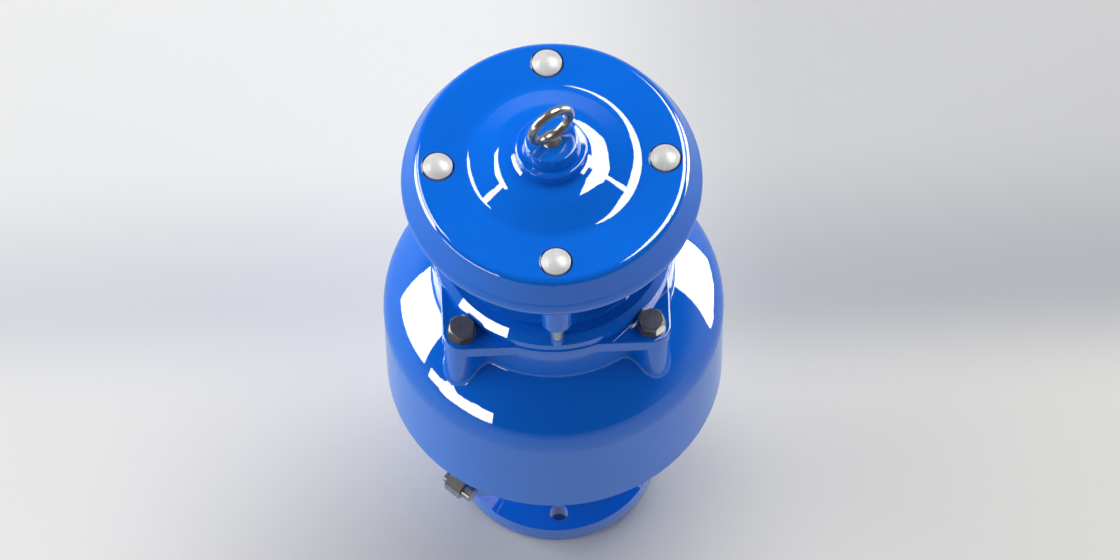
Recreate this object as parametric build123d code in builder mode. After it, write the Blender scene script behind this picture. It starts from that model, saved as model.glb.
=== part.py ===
"""Flanged air release valve: body casting, bonnet, raised hood, floats and drain cock.

Millimetres, Z up, origin on the valve axis in the plane of the inlet flange face.
"""

import os
from math import cos, radians, sin, sqrt, tan

from build123d import *

os.makedirs("parts", exist_ok=True)

# Inlet flange, nominal bore 80
FLANGE_R = 100.0
FLANGE_TOP = 22.0
FLANGE_EDGE_R = 3.5
FACE_R = 66.0
FACE_RISE = 3.0
INLET_R = 40.0
FLANGE_HOLES = 4
FLANGE_HOLE_R = 9.0
FLANGE_PITCH_R = 80.0
FOOT_R = 58.0
FOOT_TOP = 56.0
FOOT_FILLET = 7.0

# Vessel: slopes are degrees from the horizontal
WALL = 10.0
WALL_R = 168.7
WALL_TOP_Z = 311.6
WALL_DRAFT = 2.0
RIM_R = WALL_R - WALL_DRAFT
RIM_Z = 199.0
RIM_EDGE_R = 4.0
RIM_LIP_W = 8.7
RIM_LIP_H = 4.0
FUNNEL_TOP_R = RIM_R - RIM_LIP_W
FUNNEL_TOP_Z = RIM_Z - RIM_LIP_H
SHOULDER_BEND_R = 45.8
SHOULDER_SLOPE = 57.0
CROWN_R = 160.0
CROWN_SLOPE = 25.0
NECK_R = 119.5
NECK_WALL = 19.5
NECK_BORE_R = NECK_R - NECK_WALL
WEB_DEPTH = 100.0
WEB_FLARE = 5.0
WEB_FILLET = 14.0
WEB_FOOT_FILLET = 4.0
JOINT_Z = 415.0

# Bonnet and its bolts
BOLT_XY = 93.5
EAR_R = 19.0
EAR_BOSS_R = 17.5
PLATE_T = 16.0
PLATE_Z = JOINT_Z + PLATE_T
PLATE_EDGE_R = 1.5
PAD_RISE = 1.0
PAD_GAP = 0.4
DRUM_INSET = 1.5
DRUM_R = NECK_R - DRUM_INSET
BAND_W = 6.5
BAND_H = 8.8
DRUM_Z = 449.5
RING_INSET = 17.0
RING_R = DRUM_R - RING_INSET
RING_H = 5.5
RING_EDGE_R = 3.5
RING_Z = DRUM_Z + RING_H
THROAT_R = 45.0
SPIGOT_H = 6.0
SPIGOT_GAP = 0.3
CAVITY_INSET = 7.0
CAVITY_R = NECK_BORE_R - CAVITY_INSET
ROOF_Z = 436.0
BOLT_R = 7.95
BOLT_CLEAR_R = 8.75
BOLT_TAP_R = 8.0
BOLT_AF = 24.0
BOLT_CHAMFER = 0.6
BOLT_HEAD_H = 10.0
BOLT_LONG = 48.0
BOLT_TAP_DEPTH = 40.0
BOLT_TURNS = (20.0, 5.0, 47.0, 32.0)
WASHER_R = 14.5
WASHER_T = 3.0

# O-ring between body and bonnet
ORING_INSET = 12.0
ORING_R = NECK_R - ORING_INSET
ORING_SECTION_R = 2.0
ORING_GROOVE_HALF = 2.6

# Hood, its posts and its fasteners
POST_PITCH_R = DRUM_R - BAND_W
POST_COUNT = 4
POST_R = 15.6
POST_END_R = 7.5
POST_CONE_H = 16.0
SLEEVE_H = 17.0
SEAT_PAD_R = 7.4
SEAT_PAD_H = 1.5
SEAT_PAD_Z = DRUM_Z + SEAT_PAD_H
POST_END_Z = SEAT_PAD_Z + SLEEVE_H
POST_CONE_Z = POST_END_Z + POST_CONE_H
HOOD_H = 149.0
HOOD_Z = SEAT_PAD_Z + HOOD_H
HOOD_T = 8.0
HOOD_ROOF_Z = HOOD_Z - HOOD_T
COUNTERBORE_R = 16.6
COUNTERBORE_DEPTH = 12.0
COUNTERBORE_Z = HOOD_Z - COUNTERBORE_DEPTH
COUNTERBORE_EDGE = 0.4
HOOD_FLAT_R = POST_PITCH_R + COUNTERBORE_R + 2 * COUNTERBORE_EDGE
HOOD_EDGE_W = 7.6
HOOD_EDGE_H = 6.5
HOOD_FLARE = 8.7
HOOD_WALL_H = 20.5
HOOD_BULGE = 2.5
HOOD_LIP_W = 4.0
HOOD_LIP_H = 22.0
DOME_GAP = 6.4
DOME_R = POST_PITCH_R - COUNTERBORE_R - DOME_GAP
DOME_SLOPE = 28.0
DOME_FOOT_BEND = 20.0
DOME_SIDE_W = 20.0
DOME_KNEE_R = 39.0
DOME_CROWN_SLOPE = 5.0
DOME_CROWN_W = 4.7
COLLAR_FLARE = 2.0
COLLAR_STEP = 1.5
COLLAR_H = 12.5
BOSS_RISE = 28.8
BOSS_INSET = 10.5
BOSS_TAPER = 3.0
BOSS_EDGE_R = 2.0
POST_PAD_R = 21.0
POST_PAD_H = 15.0
STUD_R = 5.0
STUD_HOLE_R = 5.5
STUD_IN = 20.0
STUD_OUT = 2.0
SLEEVE_R = 7.0
SLEEVE_BORE_R = 5.2
NUT_AF = 16.0
NUT_H = 8.4
NUT_WASHER_R = 10.0
NUT_WASHER_T = 2.0
CAP_R = 14.6
CAP_LIFT = 1.0
CAP_DOME_H = 4.5

# Lifting eye
EYE_R = 22.0
EYE_WIRE_R = 4.8
EYE_COLLAR_R = 10.5
EYE_COLLAR_H = 7.0
EYE_COLLAR_IN = 4.0
EYE_SINK = 1.2
EYE_SHANK_R = 6.0
EYE_SHANK_L = 20.0
EYE_TURN = 31.5

# Insect screen
SCREEN_INSET = 15.0
SCREEN_R = RING_R - SCREEN_INSET
SCREEN_T = 1.0
SCREEN_GAP = 0.3
SCREEN_SLOTS = 48
SCREEN_SLOT_W = 4.0
SCREEN_SLOT_H = 52.0
SCREEN_BAR = 8.0

# Large orifice and guide cage
SEAT_OUT_R = 60.0
SEAT_IN_R = 44.0
SEAT_H = 8.0
SEAT_Z = ROOF_Z - SEAT_H
SEAL_OUT_R = 54.0
SEAL_IN_R = 47.0
SEAL_PROUD = 1.5
SEAL_Z = SEAT_Z - SEAL_PROUD
SEAL_DEEP = 2.0
CAGE_BORE_R = 57.5
CAGE_WALL_R = 64.0
CAGE_FLANGE_R = 80.0
CAGE_FLANGE_T = 12.0
CAGE_FLANGE_Z = ROOF_Z - CAGE_FLANGE_T
CAGE_WINDOW_W = 66.0
CAGE_WINDOW_GAP = 4.0
CAGE_LEDGE_R = 46.0
CAGE_LEDGE_T = 10.0
CAGE_FOOT = 10.0
CAGE_SCREW_PITCH_R = 72.0
CAGE_SCREW_R = 3.0
CAGE_SCREW_HEAD_R = 5.0
CAGE_SCREW_HEAD_H = 6.0
CAGE_SCREW_DEPTH = 10.0
HUB_R = 12.0
HUB_BORE_R = 6.1
HUB_PROUD = 2.0
ARM_W = 8.0
ARM_H = 8.0

# Closing disc, nozzle and float, drawn with the valve open
DISC_R = 56.0
DISC_T = 10.0
DISC_BOSS_R = 20.0
DISC_BOSS_H = 4.0
DISC_GAP = 0.3
STROKE = 43.9
DISC_Z = SEAL_Z - STROKE - DISC_GAP - DISC_T
CAGE_LEDGE_Z = DISC_Z - DISC_GAP
CAGE_LOW_Z = CAGE_LEDGE_Z - CAGE_LEDGE_T - CAGE_FOOT
NOZZLE_R = 8.0
NOZZLE_PROUD = 2.8
NOZZLE_AF = 20.0
NOZZLE_HEAD_H = 5.0
ORIFICE_R = 2.0
ORIFICE_L = 6.0
OUTLET_R = 4.0
NOZZLE_LOW_Z = DISC_Z - NOZZLE_PROUD
PLAY = 5.3
STEM_R = 6.0
STEM_LOW_Z = 98.0
PAD_R = 4.5
PAD_T = 3.0
PAD_PROUD = 0.8
STEM_TOP_Z = NOZZLE_LOW_Z - PLAY - PAD_PROUD
FLOAT_R = 90.0
FLOAT_LOW_Z = 178.0
FLOAT_H = 112.0
FLOAT_TOP_Z = FLOAT_LOW_Z + FLOAT_H
FLOAT_SKIN = 1.5
FLOAT_EDGE_R = 26.0
LOCKNUT_AF = 19.0
LOCKNUT_H = 8.0

# Lower guide
GUIDE_GAP = 0.3
GUIDE_HUB_TOP_Z = FLOAT_LOW_Z - LOCKNUT_H - GUIDE_GAP
GUIDE_HUB_H = 23.7
GUIDE_H = 12.0
GUIDE_LOW_Z = GUIDE_HUB_TOP_Z - GUIDE_HUB_H
GUIDE_TOP_Z = GUIDE_LOW_Z + GUIDE_H
GUIDE_RING_T = 8.0
GUIDE_ARM_END = 4.0

# Drain cock: reaches are measured outwards from the valve axis
DRAIN_AZ = 227.0
DRAIN_Z = 108.0
DRAIN_BOSS_R = 18.0
DRAIN_BOSS_END = 122.0
DRAIN_BOSS_ROOT = 70.0
DRAIN_SHANK_R = 5.5
DRAIN_SHANK_L = 30.0
DRAIN_WASHER_T = 1.2
DRAIN_WASHER_R = 8.5
DRAIN_ELBOW_R = 6.3
DRAIN_KNUCKLE_R = 7.2
DRAIN_BARREL_GAP = 0.2
DRAIN_BARREL_AF = 19.0
DRAIN_BARREL_NEAR = 3.0
DRAIN_BARREL_L = 18.5
DRAIN_BORE_R = 4.5
DRAIN_PORT_R = 2.5
SPINDLE_GAP = 0.08
SPINDLE_HEAD_R = 5.5
SPINDLE_HEAD_L = 5.5
SPINDLE_PASSAGE_R = 2.0
SPINDLE_PORT_AT = 12.0
SPINDLE_RING_R = 0.87
SPINDLE_SLOT_W = 1.6
SPINDLE_SLOT_DEEP = 2.0

FIT = 0.05
OVER = 1.0

# Sizes that follow from those above
spigot_r = NECK_BORE_R - SPIGOT_GAP
spigot_z = JOINT_Z - SPIGOT_H
band_low_z = DRUM_Z - BAND_H
pad_flat = BOLT_XY * sqrt(2) - WASHER_R - PAD_GAP
stud_low_z = SEAT_PAD_Z - STUD_IN
stud_top_z = COUNTERBORE_Z + NUT_WASHER_T + NUT_H + STUD_OUT
drain_shank_in = DRAIN_BOSS_END - DRAIN_SHANK_L
drain_washer_end = DRAIN_BOSS_END + DRAIN_WASHER_T
drain_barrel_at = drain_washer_end + DRAIN_BARREL_GAP + DRAIN_BARREL_AF / sqrt(3)
drain_barrel_far = DRAIN_BARREL_NEAR + DRAIN_BARREL_L
spindle_r = DRAIN_BORE_R - SPINDLE_GAP


def bend_points(start, slope_from, slope_to, radius):
    """Middle and end of a bend that climbs inwards from start, between two slopes in degrees."""
    def reach(slope):
        across = radius * abs(sin(radians(slope)) - sin(radians(slope_from)))
        up = radius * abs(cos(radians(slope)) - cos(radians(slope_from)))
        return (start[0] - across, start[1] + up)
    return reach((slope_from + slope_to) / 2), reach(slope_to)


# Inner cone of the funnel and the foot of the neck, used by what sits on them
funnel_low_z = FOOT_TOP - WALL
funnel_slope = (FUNNEL_TOP_R - WALL - INLET_R) / (FUNNEL_TOP_Z + WALL / 2 - funnel_low_z)


def inner_funnel_r(z):
    """Radius of the funnel's inner cone at height z."""
    return INLET_R + funnel_slope * (z - funnel_low_z)


def inner_funnel_z(r):
    """Height at which the funnel's inner cone reaches radius r."""
    return funnel_low_z + (r - INLET_R) / funnel_slope


def corners(spread):
    """Four points on the bonnet's diagonals."""
    return [(spread * i, spread * j) for i in (-1, 1) for j in (-1, 1)]


def vertex_at(profile, r, z):
    """Corner of a profile in the XZ plane that lies at radius r and height z."""
    return profile.vertices().filter_by(lambda v: abs(v.X - r) < 0.1 and abs(v.Z - z) < 0.1)


def plate_outline(inset):
    """Outline of the bonnet's plate, drawn in by inset: a rounded square joined to a circle."""
    half = BOLT_XY + EAR_R - inset
    RectangleRounded(2 * half, 2 * half, EAR_R - inset)
    Circle(NECK_R - inset)


# Body casting
bend_mid, bend_end = bend_points((WALL_R, WALL_TOP_Z), 90.0, SHOULDER_SLOPE, SHOULDER_BEND_R)
crown_mid, crown_end = bend_points(bend_end, SHOULDER_SLOPE, CROWN_SLOPE, CROWN_R)
crown_turn = bend_end[0] - CROWN_R * sin(radians(SHOULDER_SLOPE))
neck_base_z = bend_end[1] - CROWN_R * cos(radians(SHOULDER_SLOPE))
neck_base_z += sqrt(CROWN_R**2 - (NECK_R - crown_turn)**2)
ear_reach = BOLT_XY * sqrt(2)

with BuildPart() as body:
    with BuildSketch(Plane.XZ) as shell_profile:
        with BuildLine():
            Polyline(
                crown_end, (0, crown_end[1]), (0, 0), (FACE_R, 0), (FACE_R, FACE_RISE), (FLANGE_R, FACE_RISE),
                (FLANGE_R, FLANGE_TOP), (FOOT_R, FLANGE_TOP), (FOOT_R, FOOT_TOP),
                (FUNNEL_TOP_R, FUNNEL_TOP_Z), (RIM_R, RIM_Z), (WALL_R, WALL_TOP_Z),
            )
            ThreePointArc((WALL_R, WALL_TOP_Z), bend_mid, bend_end)
            ThreePointArc(bend_end, crown_mid, crown_end)
        make_face()
        fillet(vertex_at(shell_profile, FLANGE_R, FLANGE_TOP), FLANGE_EDGE_R)
        fillet(vertex_at(shell_profile, FOOT_R, FLANGE_TOP), FOOT_FILLET)
        fillet(vertex_at(shell_profile, RIM_R, RIM_Z), RIM_EDGE_R)
    revolve(axis=Axis.Z)
    # Corner bosses under the bonnet, joined to the neck by webs
    with BuildSketch(Plane.XY.offset(JOINT_Z - WEB_DEPTH)) as lobes:
        Circle(NECK_R)
        with Locations(*corners(BOLT_XY)):
            Circle(EAR_BOSS_R)
        with PolarLocations(0, 4, start_angle=45.0):
            Polygon(
                (ear_reach, EAR_BOSS_R), (ear_reach, -EAR_BOSS_R),
                (NECK_R - EAR_BOSS_R / 2, -EAR_BOSS_R - WEB_FLARE),
                (NECK_R - EAR_BOSS_R / 2, EAR_BOSS_R + WEB_FLARE), align=None,
            )
        fillet(lobes.vertices().filter_by(lambda v: abs(v.center().length - NECK_R) < 0.1), WEB_FILLET)
    extrude(amount=WEB_DEPTH)
    web_foot = body.edges().filter_by(
        lambda e: JOINT_Z - WEB_DEPTH < e.center().Z < JOINT_Z - OVER and e.geom_type != GeomType.LINE
        and NECK_R - OVER < Vector(e.center().X, e.center().Y).length < WALL_R - SHOULDER_BEND_R / 4
    )
    fillet(web_foot, WEB_FOOT_FILLET)
    # Drain boss
    ray_x = cos(radians(DRAIN_AZ))
    ray_y = sin(radians(DRAIN_AZ))
    drain_ray = Plane(origin=(0, 0, DRAIN_Z), x_dir=(0, 0, 1), z_dir=(ray_x, ray_y, 0))
    with BuildSketch(drain_ray.offset(DRAIN_BOSS_ROOT)):
        Circle(DRAIN_BOSS_R)
    extrude(amount=DRAIN_BOSS_END - DRAIN_BOSS_ROOT)
    # Chamber, inlet bore and neck bore
    with BuildSketch(Plane.XZ):
        Polygon(
            (0, -OVER), (INLET_R, -OVER), (INLET_R, FOOT_TOP - WALL),
            (RIM_R - 2 * WALL, inner_funnel_z(RIM_R - 2 * WALL)), (RIM_R - WALL, RIM_Z + 2 * WALL),
            (WALL_R - WALL, WALL_TOP_Z), (bend_end[0] - WALL, bend_end[1] - WALL / 2),
            (NECK_R - WALL / 2, neck_base_z - WALL * 1.5), (NECK_BORE_R, neck_base_z),
            (NECK_BORE_R, JOINT_Z + OVER), (0, JOINT_Z + OVER), align=None,
        )
    revolve(axis=Axis.Z, mode=Mode.SUBTRACT)
    # Groove for the O-ring
    with BuildSketch(Plane.XY.offset(JOINT_Z)):
        Circle(ORING_R + ORING_GROOVE_HALF)
        Circle(ORING_R - ORING_GROOVE_HALF, mode=Mode.SUBTRACT)
    extrude(amount=-2 * ORING_SECTION_R, mode=Mode.SUBTRACT)
    # Flange holes, tapped holes and drain bore
    with BuildSketch(Plane.XY):
        with PolarLocations(FLANGE_PITCH_R, FLANGE_HOLES):
            Circle(FLANGE_HOLE_R)
    extrude(amount=FLANGE_TOP + OVER, mode=Mode.SUBTRACT)
    with BuildSketch(Plane.XY.offset(JOINT_Z)):
        with Locations(*corners(BOLT_XY)):
            Circle(BOLT_TAP_R)
    extrude(amount=-BOLT_TAP_DEPTH, mode=Mode.SUBTRACT)
    with BuildSketch(drain_ray.offset(DRAIN_BOSS_ROOT)):
        Circle(DRAIN_SHANK_R + FIT)
    extrude(amount=DRAIN_BOSS_END - DRAIN_BOSS_ROOT + OVER, mode=Mode.SUBTRACT)

# Bonnet: square plate with a round bulge, drum, raised ring and spigot
with BuildPart() as bonnet:
    with BuildSketch(Plane.XY.offset(JOINT_Z)):
        plate_outline(0.0)
    extrude(amount=PLATE_T)
    fillet(bonnet.edges().group_by(Axis.Z)[-1], PLATE_EDGE_R)
    # The middle stands a little above the four bolt seats
    with BuildSketch(Plane.XY.offset(PLATE_Z)):
        plate_outline(PLATE_EDGE_R)
        Rectangle(2 * pad_flat, 2 * pad_flat, rotation=45.0, mode=Mode.INTERSECT)
    extrude(amount=PAD_RISE)
    with BuildSketch(Plane.XZ) as drum_profile:
        Polygon(
            (0, JOINT_Z), (DRUM_R, JOINT_Z), (DRUM_R, band_low_z), (POST_PITCH_R, DRUM_Z), (RING_R, DRUM_Z),
            (RING_R, RING_Z), (0, RING_Z), align=None,
        )
        fillet(vertex_at(drum_profile, RING_R, RING_Z), RING_EDGE_R)
    revolve(axis=Axis.Z)
    with BuildSketch(Plane.XY.offset(band_low_z)):
        with PolarLocations(POST_PITCH_R, POST_COUNT):
            Circle(SEAT_PAD_R)
    extrude(amount=SEAT_PAD_Z - band_low_z)
    with BuildSketch(Plane.XY.offset(spigot_z)):
        Circle(spigot_r)
    extrude(amount=SPIGOT_H)
    # Flats on the drum beside the bolt seats
    with BuildSketch(Plane.XY.offset(PLATE_Z)):
        Circle(ear_reach + EAR_R)
        Rectangle(2 * pad_flat, 2 * pad_flat, rotation=45.0, mode=Mode.SUBTRACT)
    extrude(amount=DRUM_Z - PLATE_Z + OVER, mode=Mode.SUBTRACT)
    with BuildSketch(Plane.XY.offset(spigot_z)):
        Circle(CAVITY_R)
    extrude(amount=ROOF_Z - spigot_z, mode=Mode.SUBTRACT)
    with BuildSketch(Plane.XY.offset(ROOF_Z - OVER)):
        Circle(THROAT_R)
    extrude(amount=RING_Z - ROOF_Z + 2 * OVER, mode=Mode.SUBTRACT)
    with BuildSketch(Plane.XY.offset(JOINT_Z - OVER)):
        with Locations(*corners(BOLT_XY)):
            Circle(BOLT_CLEAR_R)
    extrude(amount=PLATE_T + 4 * OVER, mode=Mode.SUBTRACT)
    with BuildSketch(Plane.XY.offset(stud_low_z)):
        with PolarLocations(POST_PITCH_R, POST_COUNT):
            Circle(STUD_R + FIT)
    extrude(amount=STUD_IN + OVER, mode=Mode.SUBTRACT)
    with BuildSketch(Plane.XY.offset(ROOF_Z - OVER)):
        with PolarLocations(CAGE_SCREW_PITCH_R, 4, start_angle=45.0):
            Circle(CAGE_SCREW_R + FIT)
    extrude(amount=CAGE_SCREW_DEPTH + 2 * OVER, mode=Mode.SUBTRACT)

with BuildPart() as bonnet_oring:
    with BuildSketch(Plane.XZ):
        with Locations((ORING_R, JOINT_Z - ORING_SECTION_R)):
            Circle(ORING_SECTION_R)
    revolve(axis=Axis.Z)

with BuildPart() as bonnet_washers:
    with BuildSketch(Plane.XY.offset(PLATE_Z)):
        with Locations(*corners(BOLT_XY)):
            Circle(WASHER_R)
            Circle(BOLT_CLEAR_R, mode=Mode.SUBTRACT)
    extrude(amount=WASHER_T)

with BuildPart() as one_bolt:
    with BuildSketch(Plane.XY.offset(PLATE_Z + WASHER_T)):
        RegularPolygon(BOLT_AF / 2, 6, major_radius=False)
    extrude(amount=BOLT_HEAD_H)
    head_top_r = BOLT_AF / 2 - BOLT_CHAMFER
    head_low_r = head_top_r + BOLT_HEAD_H / tan(radians(30.0))
    with Locations((0, 0, PLATE_Z + WASHER_T + BOLT_HEAD_H / 2)):
        Cone(head_low_r, head_top_r, BOLT_HEAD_H, mode=Mode.INTERSECT)
    with BuildSketch(Plane.XY.offset(PLATE_Z + WASHER_T)):
        Circle(BOLT_R)
    extrude(amount=-BOLT_LONG)

with BuildPart() as bonnet_bolts:
    for place, turn in zip(corners(BOLT_XY), BOLT_TURNS):
        with Locations(Location((*place, 0), (0, 0, turn))):
            add(one_bolt.part)

# Hood with dome, flared wall and four posts
foot_mid, foot_end = bend_points((DOME_R, HOOD_Z), 0.0, DOME_SLOPE, DOME_FOOT_BEND)
knee_start = (foot_end[0] - DOME_SIDE_W, foot_end[1] + DOME_SIDE_W * tan(radians(DOME_SLOPE)))
knee_mid, knee_end = bend_points(knee_start, DOME_SLOPE, DOME_CROWN_SLOPE, DOME_KNEE_R)
collar_r = knee_end[0] - DOME_CROWN_W
collar_z = knee_end[1] + DOME_CROWN_W * tan(radians(DOME_CROWN_SLOPE))
boss_root_r = collar_r - BOSS_INSET
boss_z = collar_z + BOSS_RISE
edge_r = HOOD_FLAT_R + HOOD_EDGE_W
edge_z = HOOD_Z - HOOD_EDGE_H
flare_r = edge_r + HOOD_FLARE
flare_z = edge_z - HOOD_WALL_H
lip_z = flare_z - HOOD_LIP_H

with BuildPart() as hood:
    with BuildSketch(Plane.XZ):
        with BuildLine():
            Polyline(
                (0, HOOD_Z + WALL), (0, boss_z), (boss_root_r - BOSS_TAPER, boss_z),
                (boss_root_r, boss_z - BOSS_RISE / 2),
                (collar_r - 2 * COLLAR_FLARE, collar_z + COLLAR_STEP + COLLAR_H),
                (collar_r - COLLAR_FLARE - COLLAR_STEP, collar_z + COLLAR_STEP),
                (collar_r, collar_z), knee_end,
            )
            ThreePointArc(knee_end, knee_mid, knee_start)
            Line(knee_start, foot_end)
            ThreePointArc(foot_end, foot_mid, (DOME_R, HOOD_Z))
            Line((DOME_R, HOOD_Z), (HOOD_FLAT_R, HOOD_Z))
            ThreePointArc(
                (HOOD_FLAT_R, HOOD_Z), (edge_r - HOOD_EDGE_W / 3, HOOD_Z - HOOD_EDGE_H / 3), (edge_r, edge_z),
            )
            Line((edge_r, edge_z), (flare_r, flare_z))
            ThreePointArc(
                (flare_r, flare_z), (flare_r + HOOD_BULGE, flare_z - HOOD_LIP_H * 0.6),
                (flare_r - HOOD_BULGE, lip_z),
            )
            Polyline(
                (flare_r - HOOD_BULGE, lip_z), (flare_r - HOOD_BULGE - HOOD_LIP_W, lip_z),
                (flare_r - HOOD_T * 0.7, flare_z), (edge_r - HOOD_T * 0.8, edge_z - HOOD_T * 0.6),
                (edge_r - HOOD_T * 1.3, HOOD_ROOF_Z), (DOME_R - HOOD_T, HOOD_ROOF_Z),
                (foot_end[0] - HOOD_T, foot_end[1] - HOOD_T * 0.6),
                (knee_start[0] - HOOD_T * 0.7, knee_start[1] - HOOD_T),
                (knee_end[0], knee_end[1] - HOOD_T * 1.5),
                (boss_root_r - HOOD_T, HOOD_Z + WALL), (0, HOOD_Z + WALL),
            )
        make_face()
    revolve(axis=Axis.Z)
    with BuildSketch(Plane.XY.offset(POST_CONE_Z)):
        with PolarLocations(POST_PITCH_R, POST_COUNT):
            Circle(POST_R)
    extrude(amount=HOOD_Z - POST_CONE_Z - HOOD_T / 4)
    with PolarLocations(POST_PITCH_R, POST_COUNT):
        with Locations((0, 0, POST_CONE_Z - POST_CONE_H / 2)):
            Cone(POST_END_R, POST_R, POST_CONE_H)
        with Locations((0, 0, HOOD_ROOF_Z - POST_PAD_H / 2 + OVER)):
            Cylinder(POST_PAD_R, POST_PAD_H)
        with Locations((0, 0, HOOD_ROOF_Z + OVER - POST_PAD_H - HOOD_T / 2)):
            Cone(POST_R, POST_PAD_R, HOOD_T)
    with BuildSketch(Plane.XY.offset(COUNTERBORE_Z)):
        with PolarLocations(POST_PITCH_R, POST_COUNT):
            Circle(COUNTERBORE_R)
    extrude(amount=COUNTERBORE_DEPTH + OVER, mode=Mode.SUBTRACT)
    bore_rims = hood.edges().filter_by(GeomType.CIRCLE).filter_by(
        lambda e: abs(e.radius - COUNTERBORE_R) < 0.01 and abs(e.center().Z - HOOD_Z) < 0.01
    )
    chamfer(bore_rims, COUNTERBORE_EDGE)
    step_rims = hood.edges().filter_by(GeomType.CIRCLE).filter_by(
        lambda e: e.center().Z > collar_z + COLLAR_STEP + OVER and e.radius > boss_root_r - BOSS_TAPER - 0.01
        and abs(e.radius - boss_root_r) > 0.01
    )
    fillet(step_rims, BOSS_EDGE_R)
    with BuildSketch(Plane.XY.offset(POST_END_Z - OVER)):
        with PolarLocations(POST_PITCH_R, POST_COUNT):
            Circle(STUD_HOLE_R)
    extrude(amount=HOOD_Z - POST_END_Z, mode=Mode.SUBTRACT)
    with BuildSketch(Plane.XY.offset(boss_z)):
        Circle(EYE_SHANK_R + FIT)
    extrude(amount=-EYE_SHANK_L - 2 * OVER, mode=Mode.SUBTRACT)

with BuildPart() as hood_sleeves:
    with BuildSketch(Plane.XY.offset(SEAT_PAD_Z)):
        with PolarLocations(POST_PITCH_R, POST_COUNT):
            Circle(SLEEVE_R)
            Circle(SLEEVE_BORE_R, mode=Mode.SUBTRACT)
    extrude(amount=SLEEVE_H)

with BuildPart() as hood_studs:
    with BuildSketch(Plane.XY.offset(stud_low_z + OVER)):
        with PolarLocations(POST_PITCH_R, POST_COUNT):
            Circle(STUD_R)
    extrude(amount=stud_top_z - stud_low_z - OVER)

with BuildPart() as hood_washers:
    with BuildSketch(Plane.XY.offset(COUNTERBORE_Z)):
        with PolarLocations(POST_PITCH_R, POST_COUNT):
            Circle(NUT_WASHER_R)
            Circle(STUD_HOLE_R, mode=Mode.SUBTRACT)
    extrude(amount=NUT_WASHER_T)

with BuildPart() as hood_nuts:
    with BuildSketch(Plane.XY.offset(COUNTERBORE_Z + NUT_WASHER_T)):
        with PolarLocations(POST_PITCH_R, POST_COUNT):
            RegularPolygon(NUT_AF / 2, 6, major_radius=False)
            Circle(STUD_R + FIT, mode=Mode.SUBTRACT)
    extrude(amount=NUT_H)

# Caps pressed into the counterbores over the nuts
cap_shoulder_z = HOOD_Z + CAP_LIFT
cap_top_z = cap_shoulder_z + CAP_DOME_H
cap_dome_r = (CAP_R**2 + CAP_DOME_H**2) / (2 * CAP_DOME_H)
cap_mid_z = cap_top_z - cap_dome_r + sqrt(cap_dome_r**2 - CAP_R**2 / 4)

with BuildPart() as one_cap:
    with BuildSketch(Plane.XZ):
        with BuildLine():
            Polyline((0, cap_top_z), (0, COUNTERBORE_Z), (CAP_R, COUNTERBORE_Z), (CAP_R, cap_shoulder_z))
            ThreePointArc((CAP_R, cap_shoulder_z), (CAP_R / 2, cap_mid_z), (0, cap_top_z))
        make_face()
    revolve(axis=Axis.Z)
    with BuildSketch(Plane.XY.offset(COUNTERBORE_Z)):
        Circle(NUT_WASHER_R + SCREEN_GAP)
    extrude(amount=NUT_WASHER_T + SCREEN_GAP, mode=Mode.SUBTRACT)
    with BuildSketch(Plane.XY.offset(COUNTERBORE_Z)):
        Circle(NUT_AF / sqrt(3) + 2 * FIT)
    extrude(amount=stud_top_z - COUNTERBORE_Z + SCREEN_GAP, mode=Mode.SUBTRACT)

with BuildPart() as hood_caps:
    with PolarLocations(POST_PITCH_R, POST_COUNT):
        add(one_cap.part)

# Lifting eye screwed into the top boss
eye_z = boss_z + EYE_COLLAR_H - EYE_SINK + EYE_R
eye_x = cos(radians(EYE_TURN))
eye_y = sin(radians(EYE_TURN))

with BuildPart() as eyebolt:
    with BuildSketch(Plane(origin=(0, 0, eye_z), x_dir=(0, 0, 1), z_dir=(eye_x, eye_y, 0))):
        with Locations((EYE_R, 0)):
            Circle(EYE_WIRE_R)
    revolve(axis=Axis((0, 0, eye_z), (-eye_y, eye_x, 0)))
    with Locations((0, 0, boss_z + EYE_COLLAR_H / 2)):
        Cone(EYE_COLLAR_R, EYE_COLLAR_R - EYE_COLLAR_IN, EYE_COLLAR_H)
    with BuildSketch(Plane.XY.offset(boss_z)):
        Circle(EYE_SHANK_R)
    extrude(amount=-EYE_SHANK_L)

with BuildPart() as insect_screen:
    with BuildSketch(Plane.XY.offset(RING_Z)):
        Circle(SCREEN_R)
        Circle(SCREEN_R - SCREEN_T, mode=Mode.SUBTRACT)
    extrude(amount=HOOD_ROOF_Z - SCREEN_GAP - RING_Z)
    screen_mid_z = (HOOD_ROOF_Z - SCREEN_GAP + RING_Z) / 2
    slot_low_z = screen_mid_z - (SCREEN_SLOT_H + SCREEN_BAR) / 2
    slot_high_z = screen_mid_z + (SCREEN_SLOT_H + SCREEN_BAR) / 2
    with PolarLocations(SCREEN_R, SCREEN_SLOTS):
        with Locations((0, 0, slot_low_z), (0, 0, slot_high_z)):
            Box(6 * SCREEN_T, SCREEN_SLOT_W, SCREEN_SLOT_H, mode=Mode.SUBTRACT)

# Large orifice: seat ring, rubber seal and guide cage
with BuildPart() as seat_ring:
    with BuildSketch(Plane.XY.offset(SEAT_Z)):
        Circle(SEAT_OUT_R)
        Circle(SEAT_IN_R, mode=Mode.SUBTRACT)
    extrude(amount=SEAT_H)
    with BuildSketch(Plane.XY.offset(SEAT_Z)):
        Circle(SEAL_OUT_R)
        Circle(SEAL_IN_R, mode=Mode.SUBTRACT)
    extrude(amount=SEAL_DEEP, mode=Mode.SUBTRACT)

with BuildPart() as seat_seal:
    with BuildSketch(Plane.XY.offset(SEAL_Z)):
        Circle(SEAL_OUT_R)
        Circle(SEAL_IN_R, mode=Mode.SUBTRACT)
    extrude(amount=SEAL_PROUD + SEAL_DEEP)

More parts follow.
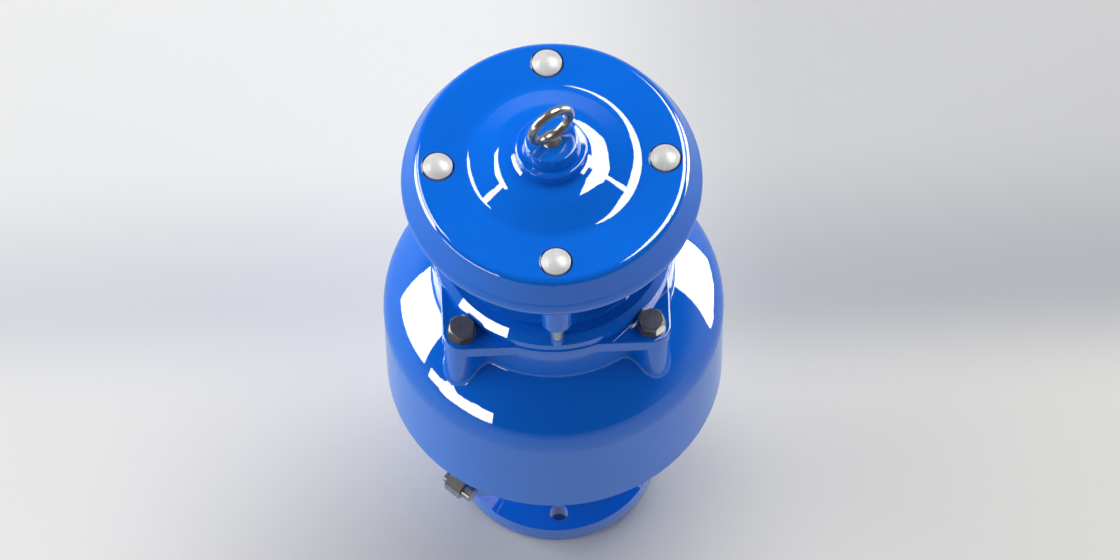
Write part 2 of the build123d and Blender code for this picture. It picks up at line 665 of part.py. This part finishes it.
with BuildPart() as guide_cage:
    with BuildSketch(Plane.XY.offset(CAGE_LOW_Z)):
        Circle(CAGE_WALL_R)
        Circle(CAGE_BORE_R, mode=Mode.SUBTRACT)
    extrude(amount=CAGE_FLANGE_Z - CAGE_LOW_Z)
    with BuildSketch(Plane.XY.offset(CAGE_FLANGE_Z)):
        Circle(CAGE_FLANGE_R)
        Circle(CAGE_BORE_R, mode=Mode.SUBTRACT)
    extrude(amount=CAGE_FLANGE_T)
    with BuildSketch(Plane.XY.offset(SEAT_Z)):
        Circle(SEAT_OUT_R + DISC_GAP)
    extrude(amount=SEAT_H + OVER, mode=Mode.SUBTRACT)
    # Windows that let the air out past the disc
    window_h = CAGE_FLANGE_Z - CAGE_LEDGE_Z - 2 * CAGE_WINDOW_GAP
    with PolarLocations((CAGE_WALL_R + CAGE_BORE_R) / 2, 4):
        with Locations((0, 0, (CAGE_LEDGE_Z + CAGE_FLANGE_Z) / 2)):
            Box(4 * (CAGE_WALL_R - CAGE_BORE_R), CAGE_WINDOW_W, window_h, mode=Mode.SUBTRACT)
    # Ledge for the disc, arms and stem guide
    with BuildSketch(Plane.XY.offset(CAGE_LEDGE_Z - CAGE_LEDGE_T)):
        Circle(CAGE_BORE_R + OVER)
        Circle(CAGE_LEDGE_R, mode=Mode.SUBTRACT)
    extrude(amount=CAGE_LEDGE_T)
    with BuildSketch(Plane.XY.offset(CAGE_LOW_Z)):
        with PolarLocations(CAGE_BORE_R / 2, 3, start_angle=90.0):
            Rectangle(CAGE_BORE_R + OVER, ARM_W)
        Circle(HUB_R)
    extrude(amount=ARM_H)
    with BuildSketch(Plane.XY.offset(CAGE_LOW_Z - HUB_PROUD)):
        Circle(HUB_R)
    extrude(amount=ARM_H + 3 * HUB_PROUD)
    with BuildSketch(Plane.XY.offset(CAGE_LOW_Z - HUB_PROUD - OVER)):
        Circle(HUB_BORE_R)
    extrude(amount=ARM_H + 3 * HUB_PROUD + 2 * OVER, mode=Mode.SUBTRACT)
    with BuildSketch(Plane.XY.offset(CAGE_FLANGE_Z - OVER)):
        with PolarLocations(CAGE_SCREW_PITCH_R, 4, start_angle=45.0):
            Circle(CAGE_SCREW_R + DISC_GAP)
    extrude(amount=CAGE_FLANGE_T + 2 * OVER, mode=Mode.SUBTRACT)

with BuildPart() as cage_screws:
    with BuildSketch(Plane.XY.offset(CAGE_FLANGE_Z)):
        with PolarLocations(CAGE_SCREW_PITCH_R, 4, start_angle=45.0):
            Circle(CAGE_SCREW_HEAD_R)
    extrude(amount=-CAGE_SCREW_HEAD_H)
    with BuildSketch(Plane.XY.offset(CAGE_FLANGE_Z)):
        with PolarLocations(CAGE_SCREW_PITCH_R, 4, start_angle=45.0):
            Circle(CAGE_SCREW_R)
    extrude(amount=CAGE_FLANGE_T + CAGE_SCREW_DEPTH)
    with BuildSketch(Plane.XY.offset(CAGE_FLANGE_Z - CAGE_SCREW_HEAD_H)):
        with PolarLocations(CAGE_SCREW_PITCH_R, 4, start_angle=45.0):
            RegularPolygon(CAGE_SCREW_HEAD_R / 2, 6, major_radius=False)
    extrude(amount=CAGE_SCREW_HEAD_H / 2, mode=Mode.SUBTRACT)

# Closing disc with the small orifice
disc_top_z = DISC_Z + DISC_T + DISC_BOSS_H
with BuildPart() as closing_disc:
    with BuildSketch(Plane.XY.offset(DISC_Z)):
        Circle(DISC_R)
    extrude(amount=DISC_T)
    with BuildSketch(Plane.XY.offset(DISC_Z)):
        Circle(DISC_BOSS_R)
    extrude(amount=DISC_T + DISC_BOSS_H)
    with BuildSketch(Plane.XY.offset(DISC_Z - OVER)):
        Circle(NOZZLE_R + FIT)
    extrude(amount=DISC_T + DISC_BOSS_H + 2 * OVER, mode=Mode.SUBTRACT)

with BuildPart() as nozzle:
    with BuildSketch(Plane.XY.offset(NOZZLE_LOW_Z)):
        Circle(NOZZLE_R)
    extrude(amount=disc_top_z - NOZZLE_LOW_Z)
    with BuildSketch(Plane.XY.offset(disc_top_z)):
        RegularPolygon(NOZZLE_AF / 2, 6, major_radius=False)
    extrude(amount=NOZZLE_HEAD_H)
    with BuildSketch(Plane.XY.offset(NOZZLE_LOW_Z - OVER)):
        Circle(ORIFICE_R)
    extrude(amount=ORIFICE_L + 2 * OVER, mode=Mode.SUBTRACT)
    with BuildSketch(Plane.XY.offset(NOZZLE_LOW_Z + ORIFICE_L)):
        Circle(OUTLET_R)
    extrude(amount=disc_top_z + NOZZLE_HEAD_H - NOZZLE_LOW_Z, mode=Mode.SUBTRACT)

# Float and stem
float_mid_z = (FLOAT_LOW_Z + FLOAT_TOP_Z) / 2
with BuildPart() as float_shell:
    with BuildSketch(Plane.XZ) as float_profile:
        with Locations((FLOAT_R / 2, float_mid_z)):
            Rectangle(FLOAT_R, FLOAT_H)
        fillet(float_profile.vertices().filter_by(lambda v: v.X > FLOAT_R / 2), FLOAT_EDGE_R)
    revolve(axis=Axis.Z)
    with BuildSketch(Plane.XZ) as float_room:
        with Locations((FLOAT_R / 2, float_mid_z)):
            Rectangle(FLOAT_R - 2 * FLOAT_SKIN, FLOAT_H - 2 * FLOAT_SKIN)
        fillet(float_room.vertices().filter_by(lambda v: v.X > FLOAT_R / 2), FLOAT_EDGE_R - FLOAT_SKIN)
        with Locations((0, float_mid_z)):
            Rectangle(2 * (STEM_R + FIT + FLOAT_SKIN), FLOAT_H, mode=Mode.SUBTRACT)
    revolve(axis=Axis.Z, mode=Mode.SUBTRACT)
    with BuildSketch(Plane.XY.offset(FLOAT_LOW_Z - OVER)):
        Circle(STEM_R + FIT)
    extrude(amount=FLOAT_H + 2 * OVER, mode=Mode.SUBTRACT)

with BuildPart() as float_stem:
    with BuildSketch(Plane.XY.offset(STEM_LOW_Z)):
        Circle(STEM_R)
    extrude(amount=STEM_TOP_Z - STEM_LOW_Z)
    with BuildSketch(Plane.XY.offset(STEM_TOP_Z)):
        Circle(PAD_R)
    extrude(amount=PAD_PROUD - PAD_T, mode=Mode.SUBTRACT)

with BuildPart() as nozzle_pad:
    with BuildSketch(Plane.XY.offset(STEM_TOP_Z + PAD_PROUD)):
        Circle(PAD_R)
    extrude(amount=-PAD_T)

with BuildPart() as float_nuts:
    for nut_z, way in ((FLOAT_TOP_Z, 1), (FLOAT_LOW_Z, -1)):
        with BuildSketch(Plane.XY.offset(nut_z)):
            RegularPolygon(LOCKNUT_AF / 2, 6, major_radius=False)
            Circle(STEM_R + FIT, mode=Mode.SUBTRACT)
        extrude(amount=way * LOCKNUT_H)

# Lower guide: a ring wedged in the funnel, three arms and a hub
guide_low_r = inner_funnel_r(GUIDE_LOW_Z)
guide_in_r = guide_low_r - GUIDE_RING_T
with BuildPart() as lower_guide:
    with BuildSketch(Plane.XZ):
        Polygon(
            (guide_in_r, GUIDE_LOW_Z), (guide_low_r, GUIDE_LOW_Z), (inner_funnel_r(GUIDE_TOP_Z), GUIDE_TOP_Z),
            (guide_in_r, GUIDE_TOP_Z), align=None,
        )
    revolve(axis=Axis.Z)
    arm_long = guide_low_r - GUIDE_ARM_END
    with BuildSketch(Plane.XY.offset(GUIDE_LOW_Z)):
        with PolarLocations(arm_long / 2, 3, start_angle=30.0):
            Rectangle(arm_long, ARM_W)
        Circle(HUB_R)
    extrude(amount=GUIDE_H)
    with BuildSketch(Plane.XY.offset(GUIDE_LOW_Z)):
        Circle(HUB_R)
    extrude(amount=GUIDE_HUB_H)
    with BuildSketch(Plane.XY.offset(GUIDE_LOW_Z - OVER)):
        Circle(HUB_BORE_R)
    extrude(amount=GUIDE_HUB_H + 2 * OVER, mode=Mode.SUBTRACT)

# Drain cock: radial shank, knuckle and a barrel across it
barrel_x = drain_barrel_at * ray_x
barrel_y = drain_barrel_at * ray_y
barrel_plane = Plane(origin=(barrel_x, barrel_y, DRAIN_Z), x_dir=(0, 0, 1), z_dir=(ray_y, -ray_x, 0))

with BuildPart() as drain_body:
    with BuildSketch(drain_ray.offset(drain_shank_in)):
        Circle(DRAIN_SHANK_R)
    extrude(amount=drain_barrel_at - drain_shank_in)
    with BuildSketch(drain_ray.offset(drain_washer_end)):
        Circle(DRAIN_ELBOW_R)
    extrude(amount=drain_barrel_at - drain_washer_end)
    with BuildSketch(barrel_plane.offset(-DRAIN_KNUCKLE_R)):
        Circle(DRAIN_KNUCKLE_R)
    extrude(amount=DRAIN_KNUCKLE_R + DRAIN_BARREL_NEAR)
    with BuildSketch(barrel_plane.offset(DRAIN_BARREL_NEAR)):
        RegularPolygon(DRAIN_BARREL_AF / 2, 6, major_radius=False)
    extrude(amount=DRAIN_BARREL_L)
    with BuildSketch(barrel_plane.offset(-DRAIN_PORT_R - OVER)):
        Circle(DRAIN_BORE_R)
    extrude(amount=drain_barrel_far + DRAIN_PORT_R + 2 * OVER, mode=Mode.SUBTRACT)
    with BuildSketch(drain_ray.offset(drain_shank_in - OVER)):
        Circle(DRAIN_PORT_R)
    extrude(amount=drain_barrel_at - drain_shank_in, mode=Mode.SUBTRACT)
    with BuildSketch(Plane(barrel_plane.origin + barrel_plane.z_dir * SPINDLE_PORT_AT, z_dir=(0, 0, -1))):
        Circle(DRAIN_PORT_R)
    extrude(amount=DRAIN_BARREL_AF, mode=Mode.SUBTRACT)

with BuildPart() as drain_washer:
    with BuildSketch(drain_ray.offset(DRAIN_BOSS_END)):
        Circle(DRAIN_WASHER_R)
        Circle(DRAIN_SHANK_R + FIT, mode=Mode.SUBTRACT)
    extrude(amount=DRAIN_WASHER_T)

spindle_in = DRAIN_BARREL_NEAR + DRAIN_WASHER_T / 2
spindle_head_at = drain_barrel_far + DISC_GAP
spindle_out = spindle_head_at + SPINDLE_HEAD_L
ring_at = drain_barrel_far - DRAIN_BORE_R
ring_groove_r = spindle_r - 2 * SPINDLE_RING_R + FIT / 2

with BuildPart() as drain_spindle:
    with BuildSketch(barrel_plane.offset(spindle_in)):
        Circle(spindle_r)
    extrude(amount=spindle_head_at - spindle_in)
    with BuildSketch(barrel_plane.offset(spindle_head_at)):
        Circle(SPINDLE_HEAD_R)
    extrude(amount=SPINDLE_HEAD_L)
    # Passage from the inner end to the side
    with BuildSketch(barrel_plane.offset(spindle_in)):
        Circle(SPINDLE_PASSAGE_R)
    extrude(amount=SPINDLE_PORT_AT + SPINDLE_PASSAGE_R - spindle_in, mode=Mode.SUBTRACT)
    with BuildSketch(Plane(
        origin=barrel_plane.origin + barrel_plane.z_dir * SPINDLE_PORT_AT, x_dir=(0, 0, 1),
        z_dir=(ray_x, ray_y, 0),
    )):
        Circle(SPINDLE_PASSAGE_R)
    extrude(amount=2 * DRAIN_BORE_R, mode=Mode.SUBTRACT)
    with BuildSketch(barrel_plane.offset(ring_at - SPINDLE_RING_R)):
        Circle(spindle_r + OVER)
        Circle(ring_groove_r, mode=Mode.SUBTRACT)
    extrude(amount=2 * SPINDLE_RING_R, mode=Mode.SUBTRACT)
    with BuildSketch(barrel_plane.offset(spindle_out)):
        Rectangle(SPINDLE_SLOT_W, 2 * SPINDLE_HEAD_R + OVER)
    extrude(amount=-SPINDLE_SLOT_DEEP, mode=Mode.SUBTRACT)

with BuildPart() as drain_oring:
    ring_origin = barrel_plane.origin + barrel_plane.z_dir * ring_at
    with BuildSketch(Plane(origin=ring_origin, x_dir=(0, 0, 1), z_dir=(ray_x, ray_y, 0))):
        with Locations((ring_groove_r + SPINDLE_RING_R, 0)):
            Circle(SPINDLE_RING_R)
    revolve(axis=Axis(ring_origin, barrel_plane.z_dir))

NODES = {
    "body": body, "bonnet": bonnet, "bonnet_oring": bonnet_oring, "bonnet_washers": bonnet_washers,
    "bonnet_bolts": bonnet_bolts, "hood": hood, "hood_sleeves": hood_sleeves, "hood_studs": hood_studs,
    "hood_washers": hood_washers, "hood_nuts": hood_nuts, "hood_caps": hood_caps, "eyebolt": eyebolt,
    "insect_screen": insect_screen, "seat_ring": seat_ring, "seat_seal": seat_seal,
    "guide_cage": guide_cage, "cage_screws": cage_screws, "closing_disc": closing_disc, "nozzle": nozzle,
    "float_shell": float_shell, "float_stem": float_stem, "nozzle_pad": nozzle_pad,
    "float_nuts": float_nuts, "lower_guide": lower_guide, "drain_body": drain_body,
    "drain_washer": drain_washer, "drain_spindle": drain_spindle, "drain_oring": drain_oring,
}

for name, node in NODES.items():
    node.part.label = name
    export_step(node.part, "parts/" + name + ".step")
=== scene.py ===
"""Air release valve: finishes, floor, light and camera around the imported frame."""

from math import cos, pi, radians, sin, tan

import bmesh
import bpy
from mathutils import Matrix, Vector

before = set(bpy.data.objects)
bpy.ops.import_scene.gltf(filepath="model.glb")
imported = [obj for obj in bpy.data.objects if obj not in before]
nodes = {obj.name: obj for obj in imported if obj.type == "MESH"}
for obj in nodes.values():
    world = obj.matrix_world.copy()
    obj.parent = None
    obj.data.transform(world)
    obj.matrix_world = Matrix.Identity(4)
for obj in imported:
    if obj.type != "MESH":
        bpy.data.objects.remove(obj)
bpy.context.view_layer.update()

# The camera: far off with a long lens, so that upright edges stay almost parallel
CAMERA_AZIMUTH = radians(268.45)
CAMERA_RISE = radians(61.24)
CAMERA_ROLL = radians(0.825)
CAMERA_AWAY = 22.0
CENTRE_RIGHT = 0.004140
CENTRE_UP = 0.1733
CLIP_BEHIND = 4.0
SENSOR = 36.0
PIXELS_PER_METRE = 997.0
IMAGE_WIDTH = 1120

# The lights: how far off they stand, and the height that those around the valve face
PANEL_AWAY = 12.0
PANEL_AIM_Z = 0.35
OVERHEAD_Z = 12.0
MIRRORED_STRENGTH = 12.0

# What the coating mirrors beside the panels: pale below the horizon, a dark room above
HORIZON_FADE_LOW = -0.15
HORIZON_FADE_HIGH = 0.25
HORIZON_LEAN = 0.15
HORIZON_SIDE = 0.7
LOW_LEFT = (0.42, 0.57, 0.82)
LOW_RIGHT = (0.47, 0.52, 0.60)
DARK_ROOM = (0.02, 0.025, 0.035)
PALE_BACKDROP = (0.82, 0.84, 0.88)

# The floor: its tones behind and in front of the valve, to the left and right, are painted light and shade,
# lighter at the left and darker at the right
FLOOR_HALF = 40.0
FLOOR_LEFT = (0.735, 0.735, 0.725)
FLOOR_RIGHT = (0.54, 0.54, 0.54)
FLOOR_FRONT_LEFT = (0.73, 0.72, 0.70)
FLOOR_FRONT_RIGHT = (0.72, 0.71, 0.68)
SIDE_START = -0.05
SIDE_END = 0.26
FRONT_START = 0.175
FRONT_END = 0.04

# A painted darker band of shade across the floor behind the valve, and a soft painted shadow on it in front,
# at the left
STRIP_PAINTED_SHADE = (0.83, 0.84, 0.88)
STRIP_Y = 0.19
STRIP_HALF = 0.17
PAINTED_SHADOW = (0.80, 0.81, 0.83)
PAINTED_SHADOW_AT = (-0.20, -0.17, 0.0)
PAINTED_SHADOW_REACH = 0.36
UNSHADED = (1.0, 1.0, 1.0)


def principled(name):
    """A new material, its node tree and its shader."""
    material = bpy.data.materials.new(name)
    material.use_nodes = True
    tree = material.node_tree
    return material, tree, tree.nodes["Principled BSDF"]


def feed(tree, socket, value):
    """Gives a socket a number, a colour or what comes out of another node."""
    if isinstance(value, bpy.types.NodeSocket):
        tree.links.new(value, socket)
    elif isinstance(value, tuple):
        socket.default_value = (*value, 1.0)
    else:
        socket.default_value = value


def noise(tree, scale, detail=2.0, stretch=(1.0, 1.0, 1.0)):
    """A noise pattern in Object coordinates, stretched along the axes."""
    place = tree.nodes.new("ShaderNodeTexCoord")
    mapping = tree.nodes.new("ShaderNodeMapping")
    mapping.inputs["Scale"].default_value = stretch
    texture = tree.nodes.new("ShaderNodeTexNoise")
    texture.inputs["Scale"].default_value = scale
    texture.inputs["Detail"].default_value = detail
    tree.links.new(place.outputs["Object"], mapping.inputs["Vector"])
    tree.links.new(mapping.outputs["Vector"], texture.inputs["Vector"])
    return texture.outputs["Fac"]


def spread(tree, factor, low, high):
    """A noise pattern spread from low to high."""
    ramp = tree.nodes.new("ShaderNodeMapRange")
    ramp.inputs["From Min"].default_value = 0.3
    ramp.inputs["From Max"].default_value = 0.7
    ramp.inputs["To Min"].default_value = low
    ramp.inputs["To Max"].default_value = high
    tree.links.new(factor, ramp.inputs["Value"])
    return ramp.outputs["Result"]


def fade(tree, value, start, end):
    """A soft step from 0 to 1 while the value goes from start to end."""
    step = tree.nodes.new("ShaderNodeMapRange")
    step.interpolation_type = "SMOOTHSTEP"
    step.inputs["From Min"].default_value = start
    step.inputs["From Max"].default_value = end
    tree.links.new(value, step.inputs["Value"])
    return step.outputs["Result"]


def arithmetic(tree, way, *terms):
    """The outcome of one sum on numbers and on what comes out of other nodes."""
    node = tree.nodes.new("ShaderNodeMath")
    node.operation = way
    for socket, term in zip(node.inputs, terms):
        feed(tree, socket, term)
    return node.outputs["Value"]


def blend(tree, factor, first, second, way="MIX"):
    """The first and second colours, blended by the factor."""
    mix = tree.nodes.new("ShaderNodeMix")
    mix.data_type = "RGBA"
    mix.blend_type = way
    feed(tree, mix.inputs["Factor"], factor)
    feed(tree, mix.inputs["A"], first)
    feed(tree, mix.inputs["B"], second)
    return mix.outputs["Result"]


def bump(tree, factor, depth, strength):
    """A normal that rises by depth metres where the factor is high."""
    node = tree.nodes.new("ShaderNodeBump")
    node.inputs["Strength"].default_value = strength
    node.inputs["Distance"].default_value = depth
    tree.links.new(factor, node.inputs["Height"])
    return node.outputs["Normal"]


def blue_coating():
    """Fusion-bonded blue epoxy: deep, glossy, with a faint orange peel."""
    material, tree, shader = principled("blue_coating")
    colour = blend(tree, noise(tree, 9.0), (0.002, 0.125, 0.66), (0.004, 0.150, 0.72))
    feed(tree, shader.inputs["Base Color"], colour)
    feed(tree, shader.inputs["Roughness"], spread(tree, noise(tree, 60.0), 0.20, 0.26))
    feed(tree, shader.inputs["Normal"], bump(tree, noise(tree, 420.0, 3.0), 0.00004, 0.05))
    shader.inputs["Coat Weight"].default_value = 1.0
    shader.inputs["Coat Roughness"].default_value = 0.015
    shader.inputs["Coat IOR"].default_value = 1.8
    shader.inputs["Specular IOR Level"].default_value = 0.0
    return material


def dark_steel():
    """Blackened steel of the bolts and the lifting eye."""
    material, tree, shader = principled("dark_steel")
    grain = noise(tree, 260.0, 4.0)
    feed(tree, shader.inputs["Base Color"], blend(tree, grain, (0.25, 0.235, 0.205), (0.35, 0.33, 0.295)))
    feed(tree, shader.inputs["Roughness"], spread(tree, noise(tree, 90.0, 3.0), 0.16, 0.24))
    feed(tree, shader.inputs["Normal"], bump(tree, grain, 0.00002, 0.15))
    shader.inputs["Metallic"].default_value = 0.7
    return material


def stainless():
    """Brushed stainless steel."""
    material, tree, shader = principled("stainless")
    brush = noise(tree, 55.0, 4.0, (1.0, 1.0, 14.0))
    feed(tree, shader.inputs["Base Color"], blend(tree, brush, (0.46, 0.45, 0.43), (0.60, 0.59, 0.57)))
    feed(tree, shader.inputs["Roughness"], spread(tree, brush, 0.20, 0.34))
    feed(tree, shader.inputs["Normal"], bump(tree, brush, 0.00003, 0.2))
    shader.inputs["Metallic"].default_value = 1.0
    return material


def brass():
    """Dull cast brass of the drain cock."""
    material, tree, shader = principled("brass")
    grain = noise(tree, 220.0, 4.0)
    feed(tree, shader.inputs["Base Color"], blend(tree, grain, (0.33, 0.28, 0.19), (0.46, 0.39, 0.27)))
    feed(tree, shader.inputs["Roughness"], spread(tree, noise(tree, 70.0, 3.0), 0.20, 0.38))
    feed(tree, shader.inputs["Normal"], bump(tree, grain, 0.00006, 0.3))
    shader.inputs["Metallic"].default_value = 1.0
    return material


def rubber():
    """Black moulded rubber of the rings and the seal."""
    material, tree, shader = principled("rubber")
    grain = noise(tree, 500.0, 4.0)
    feed(tree, shader.inputs["Base Color"], blend(tree, grain, (0.012, 0.012, 0.013), (0.026, 0.026, 0.027)))
    feed(tree, shader.inputs["Roughness"], spread(tree, grain, 0.55, 0.75))
    feed(tree, shader.inputs["Normal"], bump(tree, grain, 0.00005, 0.4))
    return material


def white_plastic():
    """White moulded plastic of the four caps."""
    material, tree, shader = principled("white_plastic")
    colour = blend(tree, noise(tree, 70.0, 3.0), (0.53, 0.53, 0.505), (0.60, 0.60, 0.575))
    feed(tree, shader.inputs["Base Color"], colour)
    feed(tree, shader.inputs["Roughness"], spread(tree, noise(tree, 200.0), 0.24, 0.34))
    feed(tree, shader.inputs["Normal"], bump(tree, noise(tree, 600.0, 3.0), 0.00003, 0.15))
    return material


def pale_floor():
    """Pale smooth flooring whose soft wide tones are painted light and shade, with a painted dark band and a
    painted shadow.
    """
    material, tree, shader = principled("pale_floor")
    place = tree.nodes.new("ShaderNodeTexCoord").outputs["Object"]
    split = tree.nodes.new("ShaderNodeSeparateXYZ")
    feed(tree, split.inputs["Vector"], place)
    across, along = split.outputs["X"], split.outputs["Y"]
    # Painted light and shade: the floor is lighter at the left and darker at the right, behind and in front
    # of the valve
    sideways = fade(tree, across, SIDE_START, SIDE_END)
    forward = fade(tree, along, FRONT_START, FRONT_END)
    # Painted shade: a darker band across the floor behind the valve
    from_strip = arithmetic(tree, "ABSOLUTE", arithmetic(tree, "SUBTRACT", along, STRIP_Y))
    strip = blend(tree, fade(tree, from_strip, 0.0, STRIP_HALF), STRIP_PAINTED_SHADE, UNSHADED)
    behind = blend(tree, 1.0, blend(tree, sideways, FLOOR_LEFT, FLOOR_RIGHT), strip, "MULTIPLY")
    before = blend(tree, sideways, FLOOR_FRONT_LEFT, FLOOR_FRONT_RIGHT)
    # Painted shadow: a soft dark patch on the floor in front of the valve, at the left
    from_shade = tree.nodes.new("ShaderNodeVectorMath")
    from_shade.operation = "DISTANCE"
    from_shade.inputs[1].default_value = PAINTED_SHADOW_AT
    feed(tree, from_shade.inputs[0], place)
    shade = blend(tree, fade(tree, from_shade.outputs["Value"], 0.0, PAINTED_SHADOW_REACH), PAINTED_SHADOW, UNSHADED)
    tone = blend(tree, 1.0, blend(tree, forward, behind, before), shade, "MULTIPLY")
    feed(tree, shader.inputs["Base Color"], tone)
    feed(tree, shader.inputs["Roughness"], spread(tree, noise(tree, 30.0), 0.85, 0.95))
    shader.inputs["Specular IOR Level"].default_value = 0.0
    return material


def floor():
    """Plain pale floor that takes the shadow."""
    shape = bmesh.new()
    bmesh.ops.create_grid(shape, x_segments=1, y_segments=1, size=FLOOR_HALF)
    mesh = bpy.data.meshes.new("floor")
    shape.to_mesh(mesh)
    shape.free()
    piece = bpy.data.objects.new("floor", mesh)
    bpy.context.scene.collection.objects.link(piece)
    mesh.materials.append(pale_floor())
    piece.visible_glossy = False


def aim(azimuth, rise):
    """Unit vector towards an azimuth and a rise, in radians, in the row frame."""
    return Vector((cos(azimuth) * cos(rise), sin(azimuth) * cos(rise), sin(rise)))


def area_light(name, wide, deep, strength):
    """A rectangular light that the camera doesn't see, of the same strength at any size."""
    light = bpy.data.lights.new(name, "AREA")
    light.shape = "RECTANGLE"
    light.size = wide
    light.size_y = deep
    light.energy = strength * pi * wide * deep
    lamp = bpy.data.objects.new(name, light)
    bpy.context.scene.collection.objects.link(lamp)
    lamp.visible_camera = False
    return lamp


def panel(name, azimuth, rise, wide, high, tilt=0.0, strength=MIRRORED_STRENGTH, mirrored=True):
    """A light that faces the valve, placed and sized in degrees, with azimuth 0 at the camera's right.

    A mirrored one shows only as a highlight. The others light the surfaces and aren't mirrored.
    """
    out = aim(radians(azimuth) + CAMERA_AZIMUTH - radians(270.0), radians(rise))
    across = 2 * PANEL_AWAY * tan(radians(wide) / 2)
    upright = 2 * PANEL_AWAY * tan(radians(high) / 2)
    lamp = area_light(name, across, upright, strength)
    turn = out.to_track_quat("Z", "Y").to_matrix().to_4x4() @ Matrix.Rotation(radians(tilt), 4, "Z")
    lamp.matrix_world = Matrix.Translation(out * PANEL_AWAY + Vector((0.0, 0.0, PANEL_AIM_Z))) @ turn
    lamp.visible_diffuse = not mirrored
    lamp.visible_glossy = mirrored


def overhead(name, right, back, wide, deep, turn=0.0):
    """A level light above the valve that shows only as a highlight.

    Its place to the camera's right and back, its width and its depth are per metre of height.
    """
    lamp = area_light(name, wide * OVERHEAD_Z, deep * OVERHEAD_Z, MIRRORED_STRENGTH)
    place = Matrix.Translation(Vector((right, back, 1.0)) * OVERHEAD_Z)
    facing = Matrix.Rotation(CAMERA_AZIMUTH - radians(270.0), 4, "Z")
    lamp.matrix_world = facing @ place @ Matrix.Rotation(radians(turn), 4, "Z")
    lamp.visible_diffuse = False


def lights():
    """Two tall panels and a low strip around the valve, two above it, and three soft lamps."""
    panel("left_panel", azimuth=167.5, rise=13.5, wide=37.0, high=37.0, tilt=18.0)
    panel("strip_panel", azimuth=215.25, rise=5.3, wide=41.5, high=6.0, tilt=9.0)
    panel("right_panel", azimuth=31.5, rise=1.5, wide=31.0, high=38.0, tilt=-17.0)
    panel("key_lamp", azimuth=75.0, rise=58.0, wide=50.0, high=50.0, strength=3.6, mirrored=False)
    panel("left_lamp", azimuth=176.0, rise=25.0, wide=60.0, high=50.0, strength=3.2, mirrored=False)
    panel("right_lamp", azimuth=344.0, rise=25.0, wide=60.0, high=50.0, strength=1.2, mirrored=False)
    overhead("left_overhead", right=-0.825, back=0.395, wide=0.33, deep=0.83)
    overhead("right_overhead", right=0.58, back=0.51, wide=0.85, deep=0.95, turn=18.0)


def surroundings():
    """Pale surroundings below the horizon, where the floor lies, that fade to a dark room above."""
    world = bpy.data.worlds.new("studio")
    bpy.context.scene.world = world
    world.use_nodes = True
    tree = world.node_tree
    split = tree.nodes.new("ShaderNodeSeparateXYZ")
    feed(tree, split.inputs["Vector"], tree.nodes.new("ShaderNodeTexCoord").outputs["Generated"])
    low = blend(tree, fade(tree, split.outputs["X"], -HORIZON_SIDE, HORIZON_SIDE), LOW_LEFT, LOW_RIGHT)
    height = arithmetic(tree, "MULTIPLY_ADD", split.outputs["Y"], -HORIZON_LEAN, split.outputs["Z"])
    upwards = fade(tree, height, HORIZON_FADE_LOW, HORIZON_FADE_HIGH)
    mirrored = tree.nodes["Background"]
    feed(tree, mirrored.inputs["Color"], blend(tree, upwards, low, DARK_ROOM))
    seen = tree.nodes.new("ShaderNodeBackground")
    feed(tree, seen.inputs["Color"], PALE_BACKDROP)
    choose = tree.nodes.new("ShaderNodeMixShader")
    feed(tree, choose.inputs["Fac"], tree.nodes.new("ShaderNodeLightPath").outputs["Is Camera Ray"])
    feed(tree, choose.inputs[1], mirrored.outputs["Background"])
    feed(tree, choose.inputs[2], seen.outputs["Background"])
    feed(tree, tree.nodes["World Output"].inputs["Surface"], choose.outputs["Shader"])


def camera():
    """The camera at the photograph's angle."""
    back = aim(CAMERA_AZIMUTH, CAMERA_RISE)
    level_right = Vector((-sin(CAMERA_AZIMUTH), cos(CAMERA_AZIMUTH), 0.0))
    level_up = back.cross(level_right)
    right = level_right * cos(CAMERA_ROLL) - level_up * sin(CAMERA_ROLL)
    up = level_right * sin(CAMERA_ROLL) + level_up * cos(CAMERA_ROLL)
    lens = bpy.data.cameras.new("camera")
    lens.sensor_width = SENSOR
    lens.lens = PIXELS_PER_METRE * SENSOR * CAMERA_AWAY / IMAGE_WIDTH
    lens.clip_end = CLIP_BEHIND * CAMERA_AWAY
    thing = bpy.data.objects.new("camera", lens)
    bpy.context.scene.collection.objects.link(thing)
    turn = Matrix((right, up, back)).transposed().to_4x4()
    thing.matrix_world = Matrix.Translation(back * CAMERA_AWAY + right * CENTRE_RIGHT + up * CENTRE_UP) @ turn
    bpy.context.scene.camera = thing


# Each CAD node names its finish in its material slot
finishes = {
    make.__name__: make() for make in (blue_coating, dark_steel, stainless, brass, rubber, white_plastic)
}
for thing in nodes.values():
    for place in thing.material_slots:
        place.material = finishes[place.material.name]

floor()
lights()
surroundings()
camera()
bpy.context.scene.view_settings.view_transform = "Standard"
